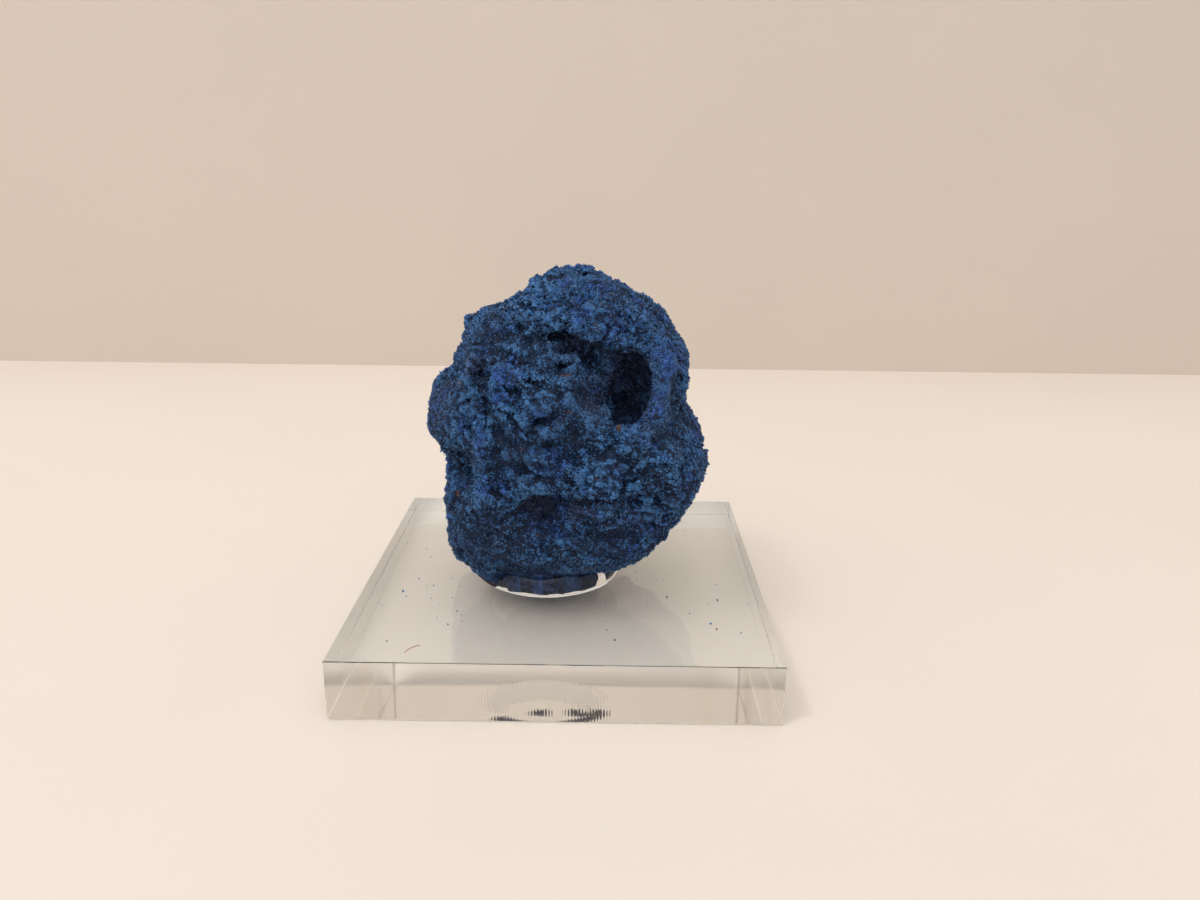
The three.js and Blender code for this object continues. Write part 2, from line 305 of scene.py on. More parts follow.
def fine_relief(points, scale):
    """Clumps, clefts, pits and grain of the crust: the smaller sizes, which leave no smooth face anywhere."""
    rough = np.clip(0.75 + 0.6 * Drift(11, 5.0)(points), 0.3, 1.15) * (1 - 0.85 * calm(points))
    rough *= 1 - 0.35 * ramp(np.abs(points[:, 0]), 9.5, 14.0)
    grainy = 0.35 + 0.65 * rough
    bent = points + 0.5 * Drift(12, 1.7, 3)(points)
    rows = bent @ CRAG_ROWS.T
    height = domes(bent, Seeds(13, 2.6), 0.5, 0.4, 0.15) * rough
    height += domes(rows, Seeds(14, 1.1), 0.4, 0.36, 0.2) * rough
    height += (0.9 * crests(rows, 1.5, 18) + 0.6 * crests(rows, 0.75, 19)) * rough
    height += 0.2 * Drift(20, 0.46)(points) * grainy
    height += domes(points, Seeds(17, 0.6), 0.24, 0.26, 0.25) * grainy
    near, _, number = Seeds(15, 2.5)(bent)
    height -= 1.3 * ramp(near, 0.36, 0.08) * (number > PITLESS) * rough
    from_rosette = np.linalg.norm(bent - ROSETTE, axis=1)
    height += 0.2 * np.sin(from_rosette * 7.5) * ramp(from_rosette, 3.0, 1.8)
    groove = np.exp(-(((from_rosette - ROSETTE_RADIUS) / 0.28) ** 2))
    height -= 0.7 * groove * ramp(points[:, 2], 22.6, 21.4)
    return height * scale


class Solid:
    """The nodule as distances from its surface on a grid of voxels, negative inside."""

    def __init__(self, mesh, voxel, reach):
        self.voxel, self.reach = voxel, reach
        points = np.array([v.co for v in mesh.vertices], np.float32) / MM
        mesh.calc_loop_triangles()
        triangles = np.array([t.vertices for t in mesh.loop_triangles], np.uint32)
        step = openvdb.createLinearTransform(voxelSize=voxel)
        level = openvdb.FloatGrid.createLevelSetFromPolygons(
            points, triangles=triangles, transform=step, halfWidth=reach / voxel
        )
        margin = int(reach / voxel) + 2
        self.low = np.floor(points.min(0) / voxel).astype(int) - margin
        shape = np.ceil(points.max(0) / voxel).astype(int) + margin - self.low
        self.distance = np.empty(tuple(shape), np.float32)
        level.copyToArray(self.distance, ijk=tuple(int(n) for n in self.low))

    def shift(self, limit, relief):
        """Moves the surface out by a relief, which is worked out where the distance is under a limit."""
        index = np.nonzero(np.abs(self.distance) < limit)
        points = (np.stack(index, 1) + self.low).astype(np.float32) * self.voxel
        self.distance[index] -= np.clip(relief(points), -0.9 * limit, 0.9 * limit)

    def combine(self, choose, distance):
        """Joins (np.minimum) or keeps the overlap with (np.maximum) another solid, given by its distances."""
        index = np.nonzero(np.abs(self.distance) < self.reach)
        points = (np.stack(index, 1) + self.low).astype(np.float32) * self.voxel
        self.distance[index] = choose(self.distance[index], distance(points))

    def halve(self):
        """Halves the voxels, with the new ones' distances between their neighbours'."""
        for axis in range(3):
            old = np.moveaxis(self.distance, axis, 0)
            new = np.empty((2 * len(old) - 1, *old.shape[1:]), np.float32)
            new[::2], new[1::2] = old, (old[1:] + old[:-1]) / 2
            self.distance = np.moveaxis(new, 0, axis)
        self.distance = np.ascontiguousarray(self.distance)
        self.low, self.voxel = self.low * 2, self.voxel / 2

    def polygons(self):
        grid = openvdb.FloatGrid(self.reach)
        grid.transform = openvdb.createLinearTransform(voxelSize=self.voxel)
        grid.copyFromArray(self.distance, ijk=tuple(int(n) for n in self.low))
        points, quads = grid.convertToQuads(isovalue=0.0)
        return np.asarray(points, np.float64), np.asarray(quads, np.int64)

    def mean(self, size, limit):
        """The distances, held within a limit, averaged over a cube of a size."""
        reach = max(1, round(size / self.voxel / 2))
        field = np.clip(self.distance, -limit, limit)
        for axis in range(3):
            ahead = np.moveaxis(field, axis, 0)
            padded = np.concatenate([ahead[:1].repeat(reach + 1, 0), ahead, ahead[-1:].repeat(reach, 0)])
            total = np.cumsum(padded, 0, dtype=np.float32)
            field = np.moveaxis((total[2 * reach + 1 :] - total[: -2 * reach - 1]) / (2 * reach + 1), 0, axis)
        return np.ascontiguousarray(field)

    def soften(self, size, share=1.0):
        """Rounds the edges and corners over a size, wholly or by a share."""
        self.distance += share * (self.mean(size, self.reach) - self.distance)

    def standing_out(self, size):
        """A function of points: how far the surface there stands out of the mean over a cube of a size."""
        field = self.mean(size, size)

        def sample(points):
            index = np.rint(points / self.voxel).astype(int) - self.low
            index = np.clip(index, 0, np.array(field.shape) - 1)
            return field[index[:, 0], index[:, 1], index[:, 2]] / size

        return sample


def largest_piece(points, quads):
    """Drops the crumbs that the relief cuts loose, by spreading the lowest vertex number over each piece."""
    label = np.arange(len(points))
    ends = np.concatenate([quads[:, [n, (n + 1) % 4]] for n in range(4)])
    while True:
        lowest = np.minimum(label[ends[:, 0]], label[ends[:, 1]])
        new = label.copy()
        np.minimum.at(new, ends[:, 0], lowest)
        np.minimum.at(new, ends[:, 1], lowest)
        new = new[new]
        if np.array_equal(new, label):
            break
        label = new
    main = np.bincount(label[quads[:, 0]]).argmax()
    return compact(points, quads[label[quads[:, 0]] == main])


def compact(points, quads):
    """Faces with only the points that they use."""
    used, quads = np.unique(quads, return_inverse=True)
    return points[used], quads.reshape(-1, 4)


def face_normals(points, quads):
    """Each face's unit normal and area."""
    across = np.cross(points[quads[:, 2]] - points[quads[:, 0]], points[quads[:, 3]] - points[quads[:, 1]])
    length = np.linalg.norm(across, axis=1)
    return across / np.maximum(length, 1e-12)[:, None], length / 2


# ---------------------------------------------------------------------------------------------------------
# Stains, tints and painted shade, worked out alike for the skin and for the crystals
# ---------------------------------------------------------------------------------------------------------

# Each place's middle, and its sizes along X, Y and Z
RUST_SPOTS = [
    ((0.5, -12.0, 32.2), (0.9, 2.0, 0.13)),
    ((2.4, -12.0, 32.4), (0.8, 2.0, 0.13)),
    ((4.6, -11.6, 29.8), (0.7, 2.0, 0.7)),
    ((5.9, -12.2, 26.9), (0.35, 2.0, 0.6)),
    ((5.2, -14.0, 19.7), (0.8, 1.6, 0.16)),
    ((-10.4, -8.8, 30.3), (0.6, 1.6, 0.2)),
    ((-10.8, -10.0, 18.6), (0.3, 1.6, 0.6)),
    ((6.0, 12.0, 18.0), (1.2, 2.4, 0.5)),
    ((-8.0, 9.5, 31.0), (0.8, 2.4, 0.4)),
    ((13.5, 4.0, 30.5), (1.0, 1.2, 0.4)),
]
VIVID_PARTS = [
    ((5.4, -8.6, 37.6), (2.2, 2.4, 0.9)),
    ((10.6, -10.2, 32.4), (0.9, 2.4, 2.6)),
    ((1.6, -10.6, 38.2), (1.6, 2.0, 0.5)),
    ((9.8, -9.8, 15.6), (2.8, 2.6, 0.7)),
    ((14.4, -4.0, 24.4), (1.2, 3.0, 2.4)),
    ((-12.6, -6.0, 27.6), (2.0, 4.0, 2.2)),
    ((3.0, 12.8, 28.0), (4.0, 3.0, 2.0)),
    ((-11.0, 8.0, 24.0), (2.4, 3.0, 2.6)),
    ((-2.6, 0.1, 6.6), (16.0, 16.0, 3.0)),
]
DUSTY_PARTS = [
    ((3.8, -11.6, 30.6), (2.2, 3.0, 2.4)),
    ((7.2, -6.0, 30.2), (3.4, 9.0, 4.6)),
    ((1.6, -8.0, 34.6), (3.4, 5.0, 1.6)),
    ((-9.0, -8.6, 32.2), (1.2, 2.6, 1.2)),
    ((1.6, -13.2, 18.0), (2.6, 1.8, 1.2)),
    ((-1.8, -11.0, 18.2), (2.4, 4.0, 1.8)),
    ((-3.0, 13.0, 20.0), (4.0, 2.6, 2.6)),
]
# Places where the crust is paler; on these ribs, ledges and the top the paleness also paints the light that
# falls on them.
PALE_AND_PAINTED_LIGHT_PARTS = [
    ((-7.6, -12.6, 24.4), (0.6, 1.6, 1.8)),
    ((-7.4, -12.8, 19.8), (0.9, 1.6, 1.4)),
    ((-8.6, -11.6, 27.4), (1.2, 1.6, 1.2)),
    ((0.5, -5.0, 39.8), (3.4, 4.0, 1.4)),
    ((2.0, -13.0, 30.2), (2.0, 1.6, 0.8)),
    ((7.4, -12.8, 26.2), (2.6, 1.6, 1.0)),
    ((10.6, -10.8, 29.6), (0.5, 1.6, 2.0)),
    ((4.0, -14.6, 22.4), (2.0, 1.6, 1.6)),
]


def parts(points, places, grain):
    """How far each point lies in some places, with their edges broken up by a random field."""
    return np.clip(strongest(points, places) * (1 + grain), 0, 1)


class TintsAndPaintedShade:
    """Masks of a surface's places: rust, ultramarine, brown-violet dust, and paleness of the crust, which also
    holds painted shade: darker in hollows and towards the bottom.
    """

    def __init__(self, solid):
        self.near, self.far = solid.standing_out(0.7), solid.standing_out(2.2)

    def __call__(self, points):
        speck, drift = Drift(21, 0.45)(points), Drift(22, 2.2)(points)
        near, far = self.near(points), self.far(points)
        rust = ramp(parts(points, RUST_SPOTS, 1.6 * speck + 0.3 * drift), 0.4, 0.75)
        strewn = ramp(Drift(23, 1.2)(points) * 0.6 + speck * 0.5, 0.68, 0.82) * ramp(near, 0.15, -0.1)
        hue = Drift(26, 1.9)(points) + 0.6 * Drift(27, 0.5)(points)
        vivid = 0.75 * ramp(parts(points, VIVID_PARTS, 0.9 * speck + 0.6 * drift), 0.05, 1.1)
        vivid = np.maximum(vivid, 0.6 * ramp(hue, 0.1, 0.8))
        dust = ramp(parts(points, DUSTY_PARTS, 0.7 * speck + 0.5 * drift), 0.1, 0.9)
        lift = parts(points, PALE_AND_PAINTED_LIGHT_PARTS, 0.6 * speck)
        # Paler where the surface stands out and darker in hollows: partly the crust's own colour, partly
        # painted shade in the hollows.
        pale = 0.28 + 1.55 * near + 1.1 * far + 0.35 * lift + 0.16 * drift + 0.24 * Drift(25, 0.7)(points)
        # Darker towards the bottom: painted shade on the underside.
        pale -= 0.17 * ramp(points[:, 2], 24.0, 12.0)
        wetted = ramp(points[:, 2], GEL_TOP + 0.1, GEL_TOP - 0.4)
        pale += wetted * (0.55 + 0.35 * Drift(28, 0.6)(points * (1, 1, 0.1)) - pale)
        rust, pale = np.maximum(rust, 0.5 * strewn), np.clip(pale, 0, 1)
        return {"rust": rust, "vivid": vivid, "dust": dust, "pale": pale}


# ---------------------------------------------------------------------------------------------------------
# Meshes and objects
# ---------------------------------------------------------------------------------------------------------


def new_mesh(name, points, faces, smooth=False, masks=None):
    """An object whose mesh is given in millimetres, with its masks kept as vertex attributes."""
    mesh = bpy.data.meshes.new(name)
    faces = np.asarray(faces)
    mesh.vertices.add(len(points))
    mesh.vertices.foreach_set("co", (np.asarray(points) * MM).astype(np.float32).ravel())
    mesh.loops.add(faces.size)
    mesh.loops.foreach_set("vertex_index", faces.ravel().astype(np.int32))
    mesh.polygons.add(len(faces))
    mesh.polygons.foreach_set("loop_start", np.arange(0, faces.size, faces.shape[1], dtype=np.int32))
    mesh.update(calc_edges=True)
    if mesh.validate():
        raise RuntimeError(f"{name} was made with faulty faces")
    mesh.polygons.foreach_set("use_smooth", np.full(len(faces), smooth))
    for key, values in (masks or {}).items():
        attribute = mesh.attributes.new(key, "FLOAT", "POINT")
        attribute.data.foreach_set("value", np.asarray(values, np.float32))
    made = bpy.data.objects.new(name, mesh)
    bpy.context.scene.collection.objects.link(made)
    return made


def dress(piece, material, slot, *nodes):
    """Gives a piece its material and its body, and hides the CAD nodes that it stands for. The slot is not
    used.
    """
    piece.data.materials.append(material)
    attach(piece, "root")
    if nodes:
        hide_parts(*nodes)
    return piece


# ---------------------------------------------------------------------------------------------------------
# Materials
# ---------------------------------------------------------------------------------------------------------


class Shade:
    """A node's output socket, on which arithmetic adds Math nodes."""

    def __init__(self, tree, socket):
        self.tree, self.socket = tree, socket

    def _math(self, operation, *values, clamp=False):
        return self.tree.add("ShaderNodeMath", {"operation": operation, "use_clamp": clamp}, values)

    def __add__(self, other):
        return self._math("ADD", self, other)

    def __mul__(self, other):
        return self._math("MULTIPLY", self, other)

    __radd__, __rmul__ = __add__, __mul__

    def __sub__(self, other):
        return self._math("SUBTRACT", self, other)

    def __rsub__(self, other):
        return self._math("SUBTRACT", other, self)

    def __pow__(self, other):
        return self._math("POWER", self, other)

    def __abs__(self):
        return self._math("ABSOLUTE", self)

    def lesser(self, other):
        return self._math("MINIMUM", self, other)

    def sine(self):
        return self._math("SINE", self)

    def clamped(self):
        return self._math("ADD", self, 0.0, clamp=True)

    def span(self, low, high):
        """0 at low and 1 at high, held there beyond."""
        return self._math("MULTIPLY", self - low, 1 / (high - low), clamp=True)


class Tree:
    """The node tree of a material or of the world, which starts empty."""

    def __init__(self, owner):
        owner.use_nodes = True
        self.nodes, self.links = owner.node_tree.nodes, owner.node_tree.links
        self.nodes.clear()

    def add(self, kind, settings=None, values=(), output=0):
        """A node of a kind: its settings first, then its sockets' values or links. Returns one output."""
        node = self.nodes.new(kind)
        for name, value in (settings or {}).items():
            setattr(node, name, value)
        for key, value in values.items() if isinstance(values, dict) else enumerate(values):
            if isinstance(value, Shade):
                self.links.new(value.socket, node.inputs[key])
            else:
                node.inputs[key].default_value = value
        return Shade(self, node.outputs[output]) if node.outputs else node

    def place(self):
        return self.add("ShaderNodeTexCoord", output="Object")

    def vector(self, operation, other, output="Vector"):
        """The place, combined with another vector."""
        return self.add("ShaderNodeVectorMath", {"operation": operation}, (self.place(), other), output)

    def mask(self, name):
        return self.add("ShaderNodeAttribute", {"attribute_name": name}, output="Fac")

    def noise(self, size, detail, vector=None):
        """Noise from 0 to 1 whose features are about a size across, in metres."""
        values = {"Vector": vector or self.place(), "Scale": 1 / size, "Detail": detail}
        return self.add("ShaderNodeTexNoise", {"noise_dimensions": "3D"}, values)

    def mix(self, share, first, second):
        """The first colour, and the second by a share."""
        return self.add("ShaderNodeMix", {"data_type": "RGBA"}, {0: share, 6: first, 7: second}, output=2)

    def bump(self, height, distance, strength=1.0):
        values = {"Height": height, "Distance": distance, "Strength": strength}
        return self.add("ShaderNodeBump", values=values)

    def surface(self, values):
        shader = self.add("ShaderNodeBsdfPrincipled", values=values)
        self.add("ShaderNodeOutputMaterial", values={"Surface": shader})


def colour(rgb):
    return (*rgb, 1.0)


GRAIN, MOTTLE = 0.00012, 0.0004  # the sizes of the crust's finest grain and of its mottling


def azurite_material(name, settings, uneven, facet, light):
    """Deep blue crust: lighter and darker by its masks, whose paleness also holds painted shade and light, and
    by noise, and stained by its masks.

    uneven is how much a crystal's own tone counts, facet the least roughness, and light is added to all
    paleness; below 0 it paints shade.
    """
    material = bpy.data.materials.new(name)
    tree = Tree(material)
    fine = tree.noise(GRAIN, 2.0)
    lift = (tree.mask("tone") - 0.5) * uneven + (tree.noise(MOTTLE, 3.0) - 0.5) + (fine - 0.5) * 0.6 + light
    pale = (tree.mask("pale") + lift).clamped()
    base = tree.mix(pale, colour(settings.deep), colour(settings.crust))
    vivid = tree.mix(pale, colour(settings.deep), colour(settings.vivid))
    base = tree.mix(tree.mask("vivid"), base, vivid)
    # Where paleness is low, dusty places take the lining colour: painted shade.
    dust = tree.mix(pale, colour(settings.painted_shade), colour(settings.dust))
    base = tree.mix(tree.mask("dust") * 0.6, base, dust)
    base = tree.mix(tree.mask("rust") * (0.35 + pale * 0.6), base, colour(settings.rust))
    tree.surface(
        {
            "Base Color": base,
            "Roughness": fine * 0.3 + facet,
            "IOR": 1.73,
            "Specular IOR Level": 0.18,
            "Normal": tree.bump(fine, 0.00003, 0.6),
        }
    )
    return material


GEL_IOR, ACRYLIC_IOR = 1.41, 1.49


def gel_material(settings):
    material = bpy.data.materials.new("clear_gel")
    tree = Tree(material)
    ripple = tree.noise(0.0011, 1.0)
    tree.surface(
        {
            "Base Color": colour(settings.gel_tint),
            "Roughness": 0.02,
            "IOR": GEL_IOR,
            "Transmission Weight": 1.0,
            "Normal": tree.bump(ripple, 0.0001, 0.2),
        }
    )
    return material


def acrylic_material(name, settings, roughness):
    """Clear acrylic's polished faces."""
    material = bpy.data.materials.new(name)
    values = {"Base Color": colour(settings.acrylic_tint), "Roughness": roughness, "IOR": ACRYLIC_IOR}
    Tree(material).surface({**values, "Transmission Weight": 1.0})
    return material


MARKS_END = (0.012, 0.0155)  # how far from a side's middle the cutter marks start to fade, and are gone
STREAK_PLACE, STREAK_REACH, STREAK_SHARE = 0.0183, 0.00111, 0.35  # from the middle, half width, strength


def sawn_material(settings):
    """Clear acrylic's sawn sides: cutter marks that fade towards the corners, and yellowed streaks."""
    material = bpy.data.materials.new("sawn_acrylic")
    tree = Tree(material)
    stretched = tree.vector("MULTIPLY", (1, 1, 0.05))
    along = tree.vector("DOT_PRODUCT", (1, 1, 0), output="Value")
    feed = (along * (2 * math.pi / settings.cutter_mark) + tree.noise(0.0015, 1.0, stretched) * 6).sine()
    marks = feed * 0.5 + tree.noise(settings.cutter_mark, 1.0, stretched)
    aside = [abs(tree.add("ShaderNodeSeparateXYZ", values=(tree.place(),), output=axis)) for axis in "XY"]
    marks = marks * (1.0 - aside[0].lesser(aside[1]).span(*MARKS_END))
    streak = abs(aside[0] - STREAK_PLACE).span(STREAK_REACH, 0.0) * STREAK_SHARE
    tree.surface(
        {
            "Base Color": tree.mix(streak, colour(settings.acrylic_tint), colour(settings.streak)),
            "Roughness": settings.sawn_roughness,
            "IOR": ACRYLIC_IOR,
            "Transmission Weight": 1.0,
            "Normal": tree.bump(marks, settings.cutter_depth),
        }
    )
    return material


def contact_material(settings):
    """The acrylic where gel wets it: light bends there only by the two materials' difference."""
    material = bpy.data.materials.new("acrylic_under_gel")
    ratio = ACRYLIC_IOR / GEL_IOR
    values = {"Base Color": colour(settings.acrylic_tint), "IOR": ratio, "Transmission Weight": 1.0}
    Tree(material).surface({**values, "Roughness": 0.0})
    return material


def plain_material(name, rgb, roughness):
    material = bpy.data.materials.new(name)
    tree = Tree(material)
    mottle = tree.noise(0.05, 2.0) * 0.06 + 0.97
    tone = tree.add("ShaderNodeVectorMath", {"operation": "SCALE"}, {0: rgb, "Scale": mottle})
    tree.surface({"Base Color": tone, "Roughness": roughness})
    return material


# ---------------------------------------------------------------------------------------------------------
# Settings
# ---------------------------------------------------------------------------------------------------------


def number(name, description, default, **more):
    return FloatProperty(name=name, description=description, default=default, min=0, **more)


def whole(name, description, default, least=0):
    return IntProperty(name=name, description=description, default=default, min=least)


def length(name, description, default):
    return number(name, description, default, precision=5, unit="LENGTH")


def tint(name, description, default):
    return FloatVectorProperty(
        name=name, description=description, default=default, size=3, min=0, max=1, subtype="COLOR"
    )


class NoduleSettings(bpy.types.PropertyGroup):
    voxel: length("Mesh step", "Size of the voxels that the skin is shaped on", 0.00018)
    bend: length("Bend", "How far the CAD solid's plain shapes are bent out of true", 0.0006)
    relief: number("Relief", "Strength of the crust's relief", 1.0)
    # Paleness takes the crust from deep blue to crust blue, so deep blue also stands in for painted shade in
    # hollows and towards the bottom.
    deep: tint("Deep blue", "The darkest azurite", (0.004, 0.013, 0.042))
    crust: tint("Crust blue", "The palest crust of fine crystals", (0.056, 0.180, 0.42))
    vivid: tint("Ultramarine", "Fresh, vivid azurite", (0.040, 0.112, 0.47))
    dust: tint("Dust", "Brown-violet dust in hollows", (0.068, 0.078, 0.165))
    rust: tint("Rust", "Iron stains", (0.19, 0.085, 0.040))
    # Lining is painted shade: the colour that dusty places take where their paleness is low, in hollows and
    # towards the bottom.
    painted_shade: tint("Lining", "Dark lining of dusty hollows", (0.014, 0.019, 0.048))


class CrystalSettings(bpy.types.PropertyGroup):
    count: whole("Crystals", "How many are drawn, before those that gel wets are dropped", 115000, 1)
    groups: whole("Groups", "Pieces that the crystals are joined into", 4, 1)
    size: length("Length", "Usual length of a crystal", 0.00031)
    # Glints are painted highlights: a share of crystals made very pale.
    painted_glint: number("Glints", "Share of pale, glinting crystals", 0.012)
    # Shaded feet paint shade at each crystal's foot and light at its tip.
    painted_shade: number("Shaded feet", "How much darker a crystal is at its foot, and paler at its tip", 0.35)
    seed: whole("Seed", "Start of the random draws", 5)


class HolderSettings(bpy.types.PropertyGroup):
    gel_tint: tint("Gel", "Tint of the clear gel", (0.98, 0.99, 1.0))
    acrylic_tint: tint("Acrylic", "Tint of the clear acrylic", (0.98, 1.0, 1.0))
    smear: number("Smear", "Roughness of the smeared crescent under the gel", 0.3)
    sawn_roughness: number("Sawn sides", "Roughness of the sides", 0.08)
    streak: tint("Streaks", "Tint of the yellowed streaks in the sawn sides", (0.80, 0.70, 0.50))
    cutter_mark: length("Cutter marks", "Spacing of the marks on the sawn edges", 0.0003)
    cutter_depth: length("Mark depth", "Depth of the marks on the sawn edges", 0.000008)
    crumbs: whole("Crumbs", "Small loose crumbs on the base", 150)
    crumb_seed: whole("Seed", "Start of the crumbs' random draws", 41)


class StudioSettings(bpy.types.PropertyGroup):
    floor: tint("Floor", "Colour of the floor", (0.82, 0.745, 0.68))
    wall: tint("Backdrop", "Colour of the backdrop", (0.685, 0.610, 0.54))
    zenith: tint("Zenith", "Colour of the light from above", (1.0, 0.97, 0.93))
    horizon: tint("Horizon", "Colour of the light from the sides", (0.58, 0.56, 0.53))
    sky: number("Light", "Strength of the light from all round", 0.62)
    canopy: number("Canopy", "Light added from above the front", 1.15)
    key: number("Lamp", "Power of the small lamp, in watts", 0.26)


# ---------------------------------------------------------------------------------------------------------
# Nodule
# ---------------------------------------------------------------------------------------------------------

REACH = 3.2  # how far from the CAD surface the coarse relief works
SHELL = 1.4  # how far from the coarse surface the fine relief works
SOFT_EDGE = 1.6  # the size over which the CAD solid's edges are rounded
SOFT_GRAIN = 0.45  # the share by which the finished skin is softened
STONE_GAP = 0.1  # the least gap between the stone and the base
SKIN_PIECES = ("left", "front", "right")  # with as many faces each, to stay under the limit on a piece
_skin = {}  # the finished skin, which the crystals stand on


def shaped_nodule(settings):
    """The CAD solid, bent, with its relief grown on."""
    solid = Solid(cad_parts[NODULE].data, 2 * settings.voxel / MM, REACH)
    slow, quick = Drift(1, 3.6, 3), Drift(2, 1.5, 3)
    amount = settings.bend / MM

    def bend(points):
        return amount * (slow(points) + 0.5 * quick(points))

    solid.soften(SOFT_EDGE)
    solid.shift(REACH, lambda points: coarse_relief(points, bend))
    solid.soften(SOFT_EDGE / 2)
    solid.combine(np.minimum, foot_distance)
    solid.combine(np.maximum, beyond_gel)
    solid.halve()
    solid.shift(SHELL, lambda points: fine_relief(points, settings.relief))
    solid.soften(2 * solid.voxel, SOFT_GRAIN)
    return solid


class AZURITE_OT_nodule(bpy.types.Operator):
    """Make the nodule's skin from its CAD solid, in a left, a front and a right piece"""

    bl_idname = "azurite.nodule"
    bl_label = "Nodule"

    def execute(self, context):
        settings = context.scene.azurite_nodule
        solid = shaped_nodule(settings)
        points, quads = largest_piece(*solid.polygons())
        points[:, 2] = np.maximum(points[:, 2], box_mm(BASE)[1][2] + STONE_GAP)
        normals, areas = face_normals(points, quads)
        if (points[quads].mean(1) * normals * areas[:, None]).sum() < 0:
            quads, normals = quads[:, ::-1], -normals
        tinted = TintsAndPaintedShade(solid)
        _skin.update(points=points, quads=quads, normals=normals, areas=areas, tints=tinted)
        # The skin is 0.4 less pale than the crystals that stand on it: painted shade in the gaps between them.
        material = azurite_material("azurite_crust", settings, 0.0, 0.6, -0.4)
        corner = points[quads[:, 0]]
        turn = np.arctan2(corner[:, 0], -corner[:, 1])  # from the front towards +X
        order = np.argsort(turn, kind="stable")
        for name, part in zip(SKIN_PIECES, np.array_split(order, len(SKIN_PIECES))):
            some, faces = compact(points, quads[part])
            masks = tinted(some)
            masks["tone"] = np.full(len(some), 0.5)
            dress(new_mesh(f"azurite_crust_{name}", some, faces, True, masks), material, "azurite", NODULE)
        return {"FINISHED"}


# ---------------------------------------------------------------------------------------------------------
# Crystals
# ---------------------------------------------------------------------------------------------------------

# A four-sided point, whose open foot is sunk in the skin
POINT_CORNERS = np.array([(1, 0, -0.6), (0, 1, -0.6), (-1, 0, -0.6), (0, -1, -0.6), (0.25, 0.1, 1)])
POINT_FACES = np.array([(0, 1, 4), (1, 2, 4), (2, 3, 4), (3, 0, 4)])
# A short block with a point at each end
BLOCK_CORNERS = np.array([(1, 0, 0), (-1, 0, 0), (0, 1, 0), (0, -1, 0), (0, 0, 1), (0, 0, -1)], float)
BLOCK_FACES = np.array(
    [(0, 2, 4), (2, 1, 4), (1, 3, 4), (3, 0, 4), (2, 0, 5), (1, 2, 5), (3, 1, 5), (0, 3, 5)]
)


def unit(vectors):
    return vectors / np.maximum(np.linalg.norm(vectors, axis=1), 1e-9)[:, None]


def copies(corners, faces, centres, axes, flats, sizes):
    """The points and faces of many small shapes: each has a long axis, a flat's direction and half sizes."""
    side = unit(np.cross(axes, flats))
    flat = np.cross(axes, side)
    turned = np.stack([side, flat, axes], 1) * sizes[:, :, None]
    points = centres[:, None] + np.einsum("pk,nkc->npc", corners, turned)
    faces = faces[None] + len(corners) * np.arange(len(centres))[:, None, None]
    return points.reshape(-1, 3), faces.reshape(-1, 3)


def scattered(rng, count):
    """Random places on the skin, evenly by area, with the skin's normal there."""
    share = _skin["areas"] / _skin["areas"].sum()
    face = rng.choice(len(share), count, p=share)
    corners = _skin["points"][_skin["quads"][face]]
    u, v = rng.random((2, count, 1))
    low = corners[:, 0] * (1 - u) + corners[:, 1] * u
    high = corners[:, 3] * (1 - u) + corners[:, 2] * u
    return low * (1 - v) + high * v, _skin["normals"][face]


class AZURITE_OT_crystals(bpy.types.Operator):
    """Cover the nodule with small crystals, in a few joined pieces"""

    bl_idname = "azurite.crystals"
    bl_label = "Crystals"

    def execute(self, context):
        settings, looks = context.scene.azurite_crystals, context.scene.azurite_nodule
        rng = np.random.default_rng(settings.seed)
        count, size = settings.count, settings.size / MM
        centres, normals = scattered(rng, count)
        dry = centres[:, 2] > GEL_TOP
        centres, normals, count = centres[dry], normals[dry], int(dry.sum())
        comb = unit(Drift(31, 2.6, 3)(centres))
        axes = unit(normals + 0.35 * comb + 0.4 * rng.normal(size=(count, 3)))
        flats = unit(comb + 0.8 * rng.normal(size=(count, 3)))
        coarse = ramp(Drift(32, 2.4)(centres), -0.2, 0.7) * (1 - calm(centres))
        length = size * (0.4 + 0.6 * rng.random(count) ** 2) * (0.7 + 0.7 * coarse)
        width = size * (0.38 + 0.3 * rng.random(count)) * (0.8 + 0.5 * coarse)
        sizes = np.stack([width, width * (0.5 + 0.4 * rng.random(count)), length], 1)
        masks = _skin["tints"](centres)
        masks["tone"] = rng.random(count)
        # Painted glints: a share of crystals made very pale.
        masks["pale"] = np.where(rng.random(count) < settings.painted_glint, 2.2, masks["pale"])
        material = azurite_material("azurite_crystals", looks, 1.5, 0.3, 0.03)
        turn = np.arctan2(centres[:, 1], centres[:, 0])
        order = np.argsort(turn, kind="stable")
        for number, part in enumerate(np.array_split(order, settings.groups), 1):
            points, faces = copies(
                POINT_CORNERS, POINT_FACES, centres[part], axes[part], flats[part], sizes[part]
            )
            part_masks = {key: np.repeat(values[part], len(POINT_CORNERS)) for key, values in masks.items()}
            # Painted shade at each crystal's foot, painted light at its tip.
            part_masks["pale"] += settings.painted_shade * np.tile(np.sign(POINT_CORNERS[:, 2]), len(part))
            made = new_mesh(f"azurite_crystals_{number}", points, faces, False, part_masks)
            dress(made, material, "azurite")
        return {"FINISHED"}


# ---------------------------------------------------------------------------------------------------------
# Gel pad, and the outlines that the base shares with it
# ---------------------------------------------------------------------------------------------------------

SIDE_STEPS, CORNER_STEPS, GEL_STEPS = 44, 8, 180  # points along a side, round a corner and round the gel
